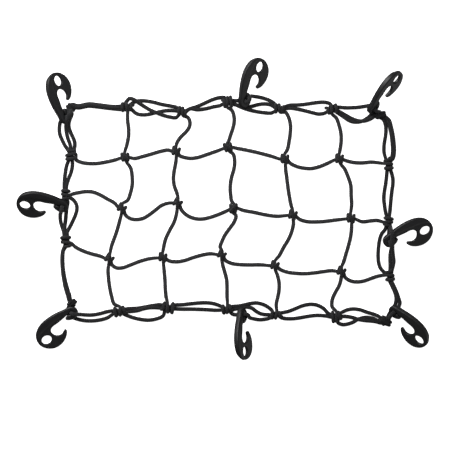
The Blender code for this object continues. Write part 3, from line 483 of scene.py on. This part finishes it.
def smooth(points, radii):
    """Rings on a smooth curve through the points: (centre, radius), closer together in a knot."""
    ends = [points[0] * 2 - points[1]] + points + [points[-1] * 2 - points[-2]]
    fine = [(points[0], radii[0])]
    for index, (before, start, end, after) in enumerate(zip(ends, ends[1:], ends[2:], ends[3:])):
        chord = (end - start).length
        leave = heading_at(before, start, end) * chord
        arrive = heading_at(start, end, after) * chord
        steps = max(CURVE_STEPS, round(2 * chord / KNOT_STEP))
        for i in range(1, steps + 1):
            t = i / steps
            place = on_curve(start, end, leave, arrive, t)
            radius = radii[index] * (1 - t) + radii[index + 1] * t
            place.z = max(place.z, radius)
            fine.append((place, radius))
    rings = [fine[0]]
    run = 0.0
    for (before, _), (here, radius) in zip(fine, fine[1:]):
        run += (here - before).length
        close = min(1.0, 2 * tightness(radius))
        if run > CORD_STEP + (KNOT_STEP - CORD_STEP) * close:
            rings.append((here, radius))
            run = 0.0
    if run > LAST_STEP:
        rings.append(fine[-1])
    return rings


def linked(name, data):
    """A new object of the scene."""
    made = bpy.data.objects.new(name, data)
    bpy.context.scene.collection.objects.link(made)
    return made


# ------------ the cord's mesh
def add_cord(bm, uv_layer, tied_layer, rings, seed):
    """A round tube through the rings, its ends closed; u runs around it, and v along it in mm."""
    centres = [centre for centre, _ in rings]
    side = Vector((0, 0, 1))
    loops, runs = [], []
    run = 0.0
    for index, (centre, radius) in enumerate(rings):
        before, after = centres[max(index - 1, 0)], centres[min(index + 1, len(rings) - 1)]
        along = (after - before).normalized()
        side = (side - along * side.dot(along)).normalized()
        other = along.cross(side)
        if index:
            run += (centre - centres[index - 1]).length
        swell = 1 + WAVER * noise.noise(Vector((run / WAVER_LENGTH, seed * WAVER_APART, 0.0)))
        loop = []
        for k in range(CORD_SIDES):
            angle = 2 * math.pi * k / CORD_SIDES
            offset = side * math.cos(angle) + other * math.sin(angle)
            loop.append(bm.verts.new((centre + offset * radius * swell) * MM))
            loop[-1][tied_layer] = tightness(radius)
        loops.append(loop)
        runs.append(run)
    for index, (low, high) in enumerate(zip(loops, loops[1:])):
        for k in range(CORD_SIDES):
            after = (k + 1) % CORD_SIDES
            face = bm.faces.new((low[k], low[after], high[after], high[k]))
            face.smooth = True
            corners = ((k, index), (k + 1, index), (k + 1, index + 1), (k, index + 1))
            for corner, (around, step) in zip(face.loops, corners):
                corner[uv_layer].uv = (around / CORD_SIDES, runs[step])
    bm.faces.new(loops[0][::-1])
    bm.faces.new(loops[-1])


def cords_object(name, all_rings, surface):
    """One mesh object of several cords."""
    bm = bmesh.new()
    uv_layer = bm.loops.layers.uv.new("UVMap")
    tied_layer = bm.verts.layers.float.new("tied")
    for seed, rings in enumerate(all_rings):
        add_cord(bm, uv_layer, tied_layer, rings, seed)
    mesh = bpy.data.meshes.new(name)
    bm.to_mesh(mesh)
    bm.free()
    mesh.materials.append(surface)
    return linked(name, mesh)


# ------------ the hook
def arc(radius, start, end, count):
    """Points on a circle about the curl's centre, between two angles in degrees."""
    step = (end - start) / (count - 1)
    angles = [math.radians(start + step * i) for i in range(count)]
    return [(radius * math.cos(angle), radius * math.sin(angle)) for angle in angles]


# The step from the bar to the web, from the inside of the shank past the eye to the end of the head
BAR_EDGE = [(-4.7, 22.0), (-7.6, 28.6), (-8.9, 35.2), (-9.6, 42.0), (-9.9, 48.6), (-8.8, 54.8)]
# The step as it shows, which begins at the curl and goes up the shank first
RIB_EDGE = [(-6.6, 9.0), (-7.6, 15.0), (-8.6, 22.0), (-9.6, 28.6), (-10.4, 35.2), (-10.8, 42.0),
            (-10.4, 48.6), (-8.8, 54.8)]


def hook_outline():
    """The outline of the plate, (v, u), anticlockwise from the back of the curl."""
    curl_outside = arc(CURL_RADIUS, 205, 385, 9)
    curl_tip = [(5.4, 5.8), (3.5, 8.4), (1.0, 10.6), (-0.8, 9.8), (-1.1, 6.8)]
    curl_hole = arc(CURL_HOLE, 72, -190, 8)
    shank_inside = [(-3.1, 8.5), (-3.6, 14.0), BAR_EDGE[0], (-6.0, 28.6), (-5.4, 33.0), (-2.4, 35.9)]
    mouth = [(2.4, 35.9), (5.4, 34.5), (8.3, 31.2), (9.4, 27.2), (8.4, 23.2)]
    beak = [(8.2, 21.2), (9.9, 20.6), (13.1, 23.7), (15.8, 29.3), (16.9, 36.0), (16.0, 42.6)]
    head = [(13.2, 48.4), (8.8, 52.8), (3.2, 55.8), (-2.9, 56.6), BAR_EDGE[-1], (-13.8, 50.6)]
    back = [(-17.0, 44.4), (-18.2, 37.8), (-17.9, 30.4), (-16.2, 21.8), (-12.8, 11.4), (-9.7, 4.3)]
    return curl_outside + curl_tip + curl_hole + shank_inside + mouth + beak + head + back


def hook_regions():
    """The bar's outline and the web's, each anticlockwise; they share the points of the step."""
    outline = hook_outline()
    start, end = outline.index(BAR_EDGE[0]), outline.index(BAR_EDGE[-1])
    bar = outline[end:] + outline[:start] + BAR_EDGE[:-1]
    web = outline[start:end] + BAR_EDGE[:0:-1]
    return bar, web


def hook_eye():
    """The finger eye in the head, an ellipse that leans to the back of the hook."""
    lean = math.radians(EYE_LEAN)
    points = []
    for i in range(EYE_SIDES):
        angle = 2 * math.pi * i / EYE_SIDES
        long, short = EYE_HALF_LONG * math.cos(angle), EYE_HALF_WIDE * math.sin(angle)
        points.append((EYE_MIDDLE[0] - long * math.sin(lean) + short * math.cos(lean),
                       EYE_MIDDLE[1] + long * math.cos(lean) + short * math.sin(lean)))
    return points


def rounded_loop(points, steps=4, corner=48):
    """A closed smooth line through the points that keeps the corners sharper than an angle in degrees."""
    places = [Vector(point) for point in points]
    count = len(places)
    sharp = []
    for i, here in enumerate(places):
        arriving, leaving = here - places[i - 1], places[(i + 1) % count] - here
        sharp.append(math.degrees(arriving.angle(leaving)) > corner)
    line = []
    for i, start in enumerate(places):
        end = places[(i + 1) % count]
        chord = end - start
        leave = arrive = chord
        if not sharp[i]:
            leave = heading_at(places[i - 1], start, end) * chord.length
        if not sharp[(i + 1) % count]:
            arrive = heading_at(start, end, places[(i + 2) % count]) * chord.length
        for k in range(steps):
            line.append(on_curve(start, end, leave, arrive, k / steps))
    return line


def fuller(loop, amount):
    """An anticlockwise closed line, moved outwards."""
    moved = []
    for before, here, after in zip(loop[-1:] + loop, loop, loop[1:] + loop[:1]):
        ahead = ((here - before).normalized() + (after - here).normalized()).normalized()
        moved.append(here + Vector((ahead.y, -ahead.x)) * amount)
    return moved


def edge_distance(place, loops):
    """How far a place lies from the nearest edge of closed loops."""
    nearest = math.inf
    for loop in loops:
        for start, end in zip(loop, loop[1:] + loop[:1]):
            chord = end - start
            t = max(0.0, min(1.0, (place - start).dot(chord) / chord.dot(chord)))
            nearest = min(nearest, (place - start - chord * t).length_squared)
    return math.sqrt(nearest)


def inside(place, loops):
    """Whether a place is within an odd number of closed loops."""
    odd = False
    for loop in loops:
        for start, end in zip(loop, loop[1:] + loop[:1]):
            if (start.y > place.y) != (end.y > place.y):
                across = start.x + (end.x - start.x) * (place.y - start.y) / (end.y - start.y)
                odd ^= place.x < across
    return odd


def bar_share(place):
    """1 on the bar, 0 on the web and the flange, and between them across the step."""
    v, u = place
    if u < RIB_EDGE[0][1]:
        return 1.0
    for (v_low, u_low), (v_high, u_high) in zip(RIB_EDGE, RIB_EDGE[1:]):
        if u < u_high:
            step = v_low + (v_high - v_low) * (u - u_low) / (u_high - u_low)
            share = max(0.0, min(1.0, 0.5 + (step - v) / STEP_WIDTH))
            share = max(share, 1.0 - (u - RIB_EDGE[0][1]) / RIB_FADE)
            ending = max(0.0, min(1.0, (RIB_EDGE[-1][1] - u) / RIB_FADE))
            return share * ending * ending * (3 - 2 * ending)
    return 0.0


def half_thickness(place, loops):
    """Half of the moulding's thickness at a place: full inside, and rounded off to the edges."""
    share = bar_share(place)
    full = (HEAD_THICK + (HOOK_THICK - HEAD_THICK) * share) / 2
    rounding = min(EDGE_ROUND + (BAR_ROUND - EDGE_ROUND) * share, full * ROUND_SHARE)
    run = min(rounding, edge_distance(place, loops))
    return full - rounding + math.sqrt(max(0.0, rounding ** 2 - (rounding - run) ** 2))


def inner_points(loops):
    """Places inside the moulding that carry its rounded edges, its step and its faces."""

    def clear(place, distance):
        return inside(place, loops) and edge_distance(place, loops) > distance

    points = []
    for loop in loops:
        for before, here, after in zip(loop[-1:] + loop, loop, loop[1:] + loop[:1]):
            ahead = (after - before).normalized()
            for run in EDGE_RINGS:
                for side in (1, -1):
                    place = here + Vector((-ahead.y, ahead.x)) * run * side
                    if clear(place, RING_CLEAR * run):
                        points.append(place)
    ends = [Vector(point) for point in RIB_EDGE]
    for start, end in zip(ends, ends[1:]):
        ahead = (end - start).normalized()
        for i in range(STEP_PARTS):
            for side in (-0.5, 0.5):
                sideways = Vector((-ahead.y, ahead.x)) * STEP_WIDTH * side
                place = start + (end - start) * i / STEP_PARTS + sideways
                if clear(place, STEP_CLEAR):
                    points.append(place)
    for i in range(-9, 9):
        for j in range(-4, 29):
            place = Vector((i * GRID + 0.7, j * GRID + 0.3))
            if clear(place, GRID_CLEAR):
                points.append(place)
    return points


def hook_mesh():
    """The hook's moulding in its own plane, in metres."""
    loops = [fuller(rounded_loop(hook_outline()), FULLER), [Vector(point) for point in hook_eye()]]
    rim = loops[0] + loops[1]
    count = len(loops[0])
    edges = [(i, (i + 1) % count) for i in range(count)]
    edges += [(count + i, count + (i + 1) % EYE_SIDES) for i in range(EYE_SIDES)]
    places, _, triangles, _, _, _ = delaunay_2d_cdt(rim + inner_points(loops), edges, [], 0, 1e-5)
    bm = bmesh.new()
    faces = []
    for side in (-1, 1):
        faces.append([bm.verts.new((place.x, place.y, side * half_thickness(place, loops)))
                      for place in places])
    for triangle in triangles:
        middle = sum((places[i] for i in triangle), Vector((0, 0))) / 3
        if inside(middle, loops):
            for face in faces:
                bm.faces.new([face[i] for i in triangle])
    for start, end in edges:
        bm.faces.new((faces[0][start], faces[0][end], faces[1][end], faces[1][start]))
    bmesh.ops.delete(bm, geom=[vert for vert in bm.verts if not vert.link_faces], context="VERTS")
    bmesh.ops.recalc_face_normals(bm, faces=bm.faces)
    for face in bm.faces:
        face.smooth = True
    bmesh.ops.scale(bm, vec=(MM, MM, MM), verts=bm.verts)
    mesh = bpy.data.meshes.new("hook")
    bm.to_mesh(mesh)
    bm.free()
    mesh.set_sharp_from_angle(angle=math.radians(50))
    return mesh


def hook_object(name, plate, place, surface):
    """A hook in its place, in a mesh of its own."""
    mesh = plate.copy()
    mesh.transform(Matrix.Translation(place.translation * MM) @ place.to_3x3().to_4x4())
    mesh.materials.append(surface)
    return linked(name + "_moulding", mesh)


def hook_place(name, pitch):
    """The hook's matrix in millimetres: columns v, u and the plate's normal, at the curl's centre."""
    curl, eye, side, tilt, height = HOOKS[name]
    level = Vector((eye[0] - curl[0], eye[1] - curl[1], 0)).normalized()
    along = (level * math.cos(pitch) + Vector((0, 0, math.sin(pitch)))).normalized()
    sideways = Vector((level.y, -level.x, 0)) * side
    upward = along.cross(sideways) * -side
    lean = math.radians(tilt)
    across = sideways * math.cos(lean) - upward * math.sin(lean)
    normal = across.cross(along)
    turn = Matrix((across, along, normal)).transposed().to_4x4()
    return Matrix.Translation((curl[0], curl[1], height)) @ turn


def hook_settled(name):
    """The place in which the hook's lowest corner just touches the surface, its curl kept at its height."""
    corners = []
    for points, thick in zip(hook_regions(), (HOOK_THICK, HEAD_THICK)):
        corners += [Vector((v, u, z)) for v, u in points for z in (-thick / 2, thick / 2)]
    down, up = (math.radians(pitch) for pitch in PITCHES)
    for _ in range(40):
        pitch = (down + up) / 2
        place = hook_place(name, pitch)
        if min((place @ corner).z for corner in corners) < 0:
            down = pitch
        else:
            up = pitch
    return hook_place(name, up)


# ------------ materials
def new_material(name, colour, roughness):
    """A material with a Principled shader, its nodes, its links and the shader."""
    made = bpy.data.materials.new(name)
    made.use_nodes = True
    made.diffuse_color = (*colour, 1)
    tree = made.node_tree
    shader = tree.nodes["Principled BSDF"]
    shader.inputs["Base Color"].default_value = (*colour, 1)
    shader.inputs["Roughness"].default_value = roughness
    return made, tree, shader


def maths(tree, operation, first, second=None):
    """A Math node; each input is a socket or a number."""
    node = tree.nodes.new("ShaderNodeMath")
    node.operation = operation
    for socket, value in zip(node.inputs, (first, second)):
        if isinstance(value, bpy.types.NodeSocket):
            tree.links.new(value, socket)
        elif value is not None:
            socket.default_value = value
    return node.outputs[0]


def mixed(tree, share, low, high):
    """A colour between two, by a socket from 0 to 1."""
    node = tree.nodes.new("ShaderNodeMix")
    node.data_type = "RGBA"
    tree.links.new(share, node.inputs["Factor"])
    for socket, value in ((node.inputs[6], low), (node.inputs[7], high)):
        if isinstance(value, bpy.types.NodeSocket):
            tree.links.new(value, socket)
        else:
            socket.default_value = (*value, 1)
    return node.outputs[2]


def clamped(tree, value):
    """A socket's value, kept from 0 to 1."""
    return maths(tree, "MAXIMUM", maths(tree, "MINIMUM", value, 1.0), 0.0)


def noise_at(tree, scale, detail):
    """A noise over the object's own coordinates."""
    coordinates = tree.nodes.new("ShaderNodeTexCoord")
    texture = tree.nodes.new("ShaderNodeTexNoise")
    texture.inputs["Scale"].default_value = scale
    texture.inputs["Detail"].default_value = detail
    tree.links.new(coordinates.outputs["Object"], texture.inputs["Vector"])
    return texture.outputs["Fac"]


def bump(tree, shader, height, distance, strength=1.0):
    """A bump from a height socket into a shader."""
    node = tree.nodes.new("ShaderNodeBump")
    node.inputs["Distance"].default_value = distance
    node.inputs["Strength"].default_value = strength
    tree.links.new(height, node.inputs["Height"])
    tree.links.new(node.outputs["Normal"], shader.inputs["Normal"])


BRAID_YARNS = 8         # yarns that wind each way around the cord
BRAID_PITCH = 1.45      # length of one yarn crossing along the cord, mm
# painted light and painted shade: the mesh's sheath is drawn lighter and the edge's darker, lit and shaded
# copies of one cord, the edge's strands shading each other
MESH_PAINTED_LIGHT = 1.2
EDGE_PAINTED_SHADE = 0.82


def cord_material(name, shade):
    """Braided sheath: two sets of yarns wind opposite ways around the cord, over and under each other.

    The shade scales how light it is: painted light on the mesh's sheath and painted shade on the edge's,
    lit and shaded copies of one cord.  The grooves between the yarns are darker, painted shade, and where
    the cord is tied it is darker and has less sheen, painted shade in the knots.
    """
    made, tree, shader = new_material(name, [0.022 * shade, 0.022 * shade, 0.024 * shade], 0.78)
    shader.inputs["Sheen Roughness"].default_value = 0.5
    shader.inputs["Specular IOR Level"].default_value = 0.3 * shade
    place = tree.nodes.new("ShaderNodeUVMap")
    place.uv_map = "UVMap"
    split = tree.nodes.new("ShaderNodeSeparateXYZ")
    tree.links.new(place.outputs["UV"], split.inputs[0])
    around = maths(tree, "MULTIPLY", split.outputs[0], BRAID_YARNS)
    along = maths(tree, "DIVIDE", split.outputs[1], BRAID_PITCH)
    right = maths(tree, "ADD", around, along)
    left = maths(tree, "SUBTRACT", around, along)
    ridges = []
    for wound in (right, left):
        turned = maths(tree, "MULTIPLY", maths(tree, "FRACT", wound), math.pi)
        ridges.append(maths(tree, "SINE", turned))
    cells = maths(tree, "ADD", maths(tree, "FLOOR", right), maths(tree, "FLOOR", left))
    over = maths(tree, "PINGPONG", cells, 1.0)
    first = maths(tree, "MULTIPLY", ridges[0], over)
    second = maths(tree, "MULTIPLY", ridges[1], maths(tree, "SUBTRACT", 1.0, over))
    weave = maths(tree, "ADD", first, second)
    # the grooves between the yarns are drawn near black and the crests in the yarn's colour: painted shade
    # in the braid's recesses
    painted_groove_shade, raised, dusty = [[level * shade, level * shade, level * shade * 1.1]
                           for level in (0.004, 0.021, 0.013)]
    yarn = mixed(tree, weave, painted_groove_shade, raised)
    worn = mixed(tree, noise_at(tree, 90.0, 4.0), dusty, yarn)
    # painted shade in the knots: where the cord is tied its colour is mixed up to halfway towards near
    # black and its sheen is lessened
    tied = tree.nodes.new("ShaderNodeAttribute")
    tied.attribute_name = "tied"
    knot_shade_share = maths(tree, "MULTIPLY", tied.outputs["Fac"], 0.5)
    knot_shaded_colour = mixed(tree, knot_shade_share, worn, (0.003, 0.003, 0.0033))
    tree.links.new(knot_shaded_colour, shader.inputs["Base Color"])
    sheen = maths(tree, "MULTIPLY", maths(tree, "SUBTRACT", 1.0, knot_shade_share), 0.12 * shade)
    tree.links.new(sheen, shader.inputs["Sheen Weight"])
    bump(tree, shader, weave, 0.00016)
    return made


def plastic_material():
    """Satin black moulding, with a fine spark-eroded grain and rubbed patches."""
    made, tree, shader = new_material("hook_moulding", (0.008, 0.008, 0.009), 0.4)
    shader.inputs["Specular IOR Level"].default_value = 0.4
    rubbed = noise_at(tree, 120.0, 5.0)
    colour = mixed(tree, rubbed, (0.005, 0.005, 0.0055), (0.009, 0.009, 0.0098))
    tree.links.new(colour, shader.inputs["Base Color"])
    roughness = maths(tree, "ADD", maths(tree, "MULTIPLY", rubbed, 0.16), 0.34)
    tree.links.new(roughness, shader.inputs["Roughness"])
    bump(tree, shader, noise_at(tree, 2600.0, 2.0), 0.00003, 0.6)
    return made


# ------------ stage, light, camera
# In metres
PICTURE_MIDDLE = (0.0, -0.0206)
PICTURE_WIDTH = 0.5625  # on the floor
CAMERA_HEIGHT = 3.0
FLOOR_REACH = 3.0
FLOOR_LEVEL = -0.0002
SENSOR = 36.0           # mm

# The light around the net by its direction: x to the right, y to the rear, z up
SKY = 0.14
RIGHT_SKY = 0.55        # more from the right and the front
RIGHT_FLOOR = 0.4       # and from the floor there
LEFT_FLOOR = 0.7        # from the floor to the left and the rear
FRONT_TURN = 0.6        # y at which the light from the right has faded
FLOOR_TOP = 0.2         # z below which the floor's light begins
FLOOR_FADE = 3.0        # how fast it grows with -z
OVERHEAD = 0.82         # z above which the sky is darker
OVERHEAD_FADE = 2.5
SHADE_LEVEL = -0.9      # z below which no light comes from under the net
SHADE_FADE = 1.6
# name, place, width, power in watts, and whether it shows as a highlight
LIGHTS = (("key", (-0.7, 0.9, 0.9), 0.9, 19.0, True), ("top", (-0.1, 0.45, 1.1), 0.7, 9.0, False))


def add_floor():
    """A plain white floor; the light that it would throw back up comes from the world."""
    mesh = bpy.data.meshes.new("floor")
    corners = [(x * FLOOR_REACH, y * FLOOR_REACH, 0) for x, y in ((-1, -1), (1, -1), (1, 1), (-1, 1))]
    mesh.from_pydata(corners, [], [(0, 1, 2, 3)])
    floor = linked("floor", mesh)
    floor.location.z = FLOOR_LEVEL
    floor.visible_diffuse = False
    floor.visible_glossy = False
    surface, _, shader = new_material("floor", (0.9, 0.9, 0.9), 0.9)
    shader.inputs["Specular IOR Level"].default_value = 0.0
    shader.inputs["Emission Color"].default_value = (1, 1, 1, 1)
    shader.inputs["Emission Strength"].default_value = 1.0
    mesh.materials.append(surface)


def add_world():
    """Soft light from the sky and off the floor, which differs from side to side."""
    world = bpy.data.worlds.new("studio")
    world.use_nodes = True
    tree = world.node_tree
    coordinates = tree.nodes.new("ShaderNodeTexCoord")
    split = tree.nodes.new("ShaderNodeSeparateXYZ")
    tree.links.new(coordinates.outputs["Generated"], split.inputs[0])
    x, y, z = split.outputs
    shown = clamped(tree, maths(tree, "MULTIPLY", maths(tree, "SUBTRACT", z, SHADE_LEVEL), SHADE_FADE))
    overhead = maths(tree, "MULTIPLY", maths(tree, "SUBTRACT", z, OVERHEAD), OVERHEAD_FADE)
    overhead = maths(tree, "MAXIMUM", overhead, 0.0)
    sky = maths(tree, "SUBTRACT", SKY, maths(tree, "MULTIPLY", overhead, SKY))
    low = clamped(tree, maths(tree, "MULTIPLY", maths(tree, "SUBTRACT", FLOOR_TOP, z), FLOOR_FADE))
    rear_left = maths(tree, "MAXIMUM", maths(tree, "SUBTRACT", y, x), 0.0)
    left = maths(tree, "MULTIPLY", rear_left, LEFT_FLOOR)
    share = maths(tree, "ADD", maths(tree, "MULTIPLY", low, RIGHT_FLOOR), RIGHT_SKY)
    front = maths(tree, "MAXIMUM", maths(tree, "SUBTRACT", FRONT_TURN, y), 0.0)
    front_right = maths(tree, "MULTIPLY", maths(tree, "MAXIMUM", x, 0.0), front)
    right = maths(tree, "MULTIPLY", front_right, share)
    sides = maths(tree, "ADD", right, maths(tree, "MULTIPLY", left, low))
    strength = maths(tree, "MULTIPLY", maths(tree, "ADD", sides, sky), shown)
    tree.links.new(strength, tree.nodes["Background"].inputs["Strength"])
    tree.nodes["Background"].inputs["Color"].default_value = (1, 1, 1, 1)
    bpy.context.scene.world = world


def add_lights():
    """A large soft light over the rear left of the net, and one high over the rear."""
    for name, place, width, power, shines in LIGHTS:
        light = bpy.data.lights.new(name, "AREA")
        light.size = width
        light.energy = power
        lamp = linked(name, light)
        lamp.location = place
        lamp.visible_glossy = shines
        lamp.rotation_euler = (-Vector(place)).to_track_quat("-Z", "Y").to_euler()


def add_camera():
    """A long lens straight above the net, as the object was photographed."""
    bpy.context.scene.view_settings.view_transform = "Standard"
    lens = bpy.data.cameras.new("camera")
    lens.sensor_width = SENSOR
    lens.lens = SENSOR * CAMERA_HEIGHT / PICTURE_WIDTH
    lens.clip_end = 20.0
    camera = linked("camera", lens)
    camera.location = (*PICTURE_MIDDLE, CAMERA_HEIGHT)
    bpy.context.scene.camera = camera


def main():
    mesh_sheath = cord_material("mesh_cord_sheath", MESH_PAINTED_LIGHT)
    edge_sheath = cord_material("edge_cord_sheath", EDGE_PAINTED_SHADE)
    moulding = plastic_material()
    places = {name: hook_settled(name) for name in HOOKS}

    plate = hook_mesh()
    for name, place in places.items():
        hook = hook_object(name, plate, place, moulding)
        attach(hook, "root")
        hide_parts(name)

    net = []
    for index, (name, route) in enumerate(MESH_CORDS.items()):
        level = CORD_LEVEL + CORD_LIFT * (index % 3)
        net.append(smooth(*mesh_points(name, route, level)))
    slots = edge_slots()
    edge = []
    for index, (name, route) in enumerate(EDGE_STRANDS.items()):
        level = CORD_LEVEL + CORD_LIFT * (index % 3)
        edge.append(smooth(*edge_points(name, route, slots, places, level)))
    for name in CORNER_AXES:
        points = tie_points(name, corner_tie(), CORNER_TIE_SIZE)
        edge.append(smooth(points, [KNOT_RADIUS] * len(points)))
    for name, rings, node, sheath in (("mesh_cords", net, "mesh", mesh_sheath),
                                      ("edge_cords", edge, "edge_rope", edge_sheath)):
        cords = cords_object(name, rings, sheath)
        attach(cords, "root")
        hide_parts(node)

    add_floor()
    add_world()
    add_lights()
    add_camera()


main()
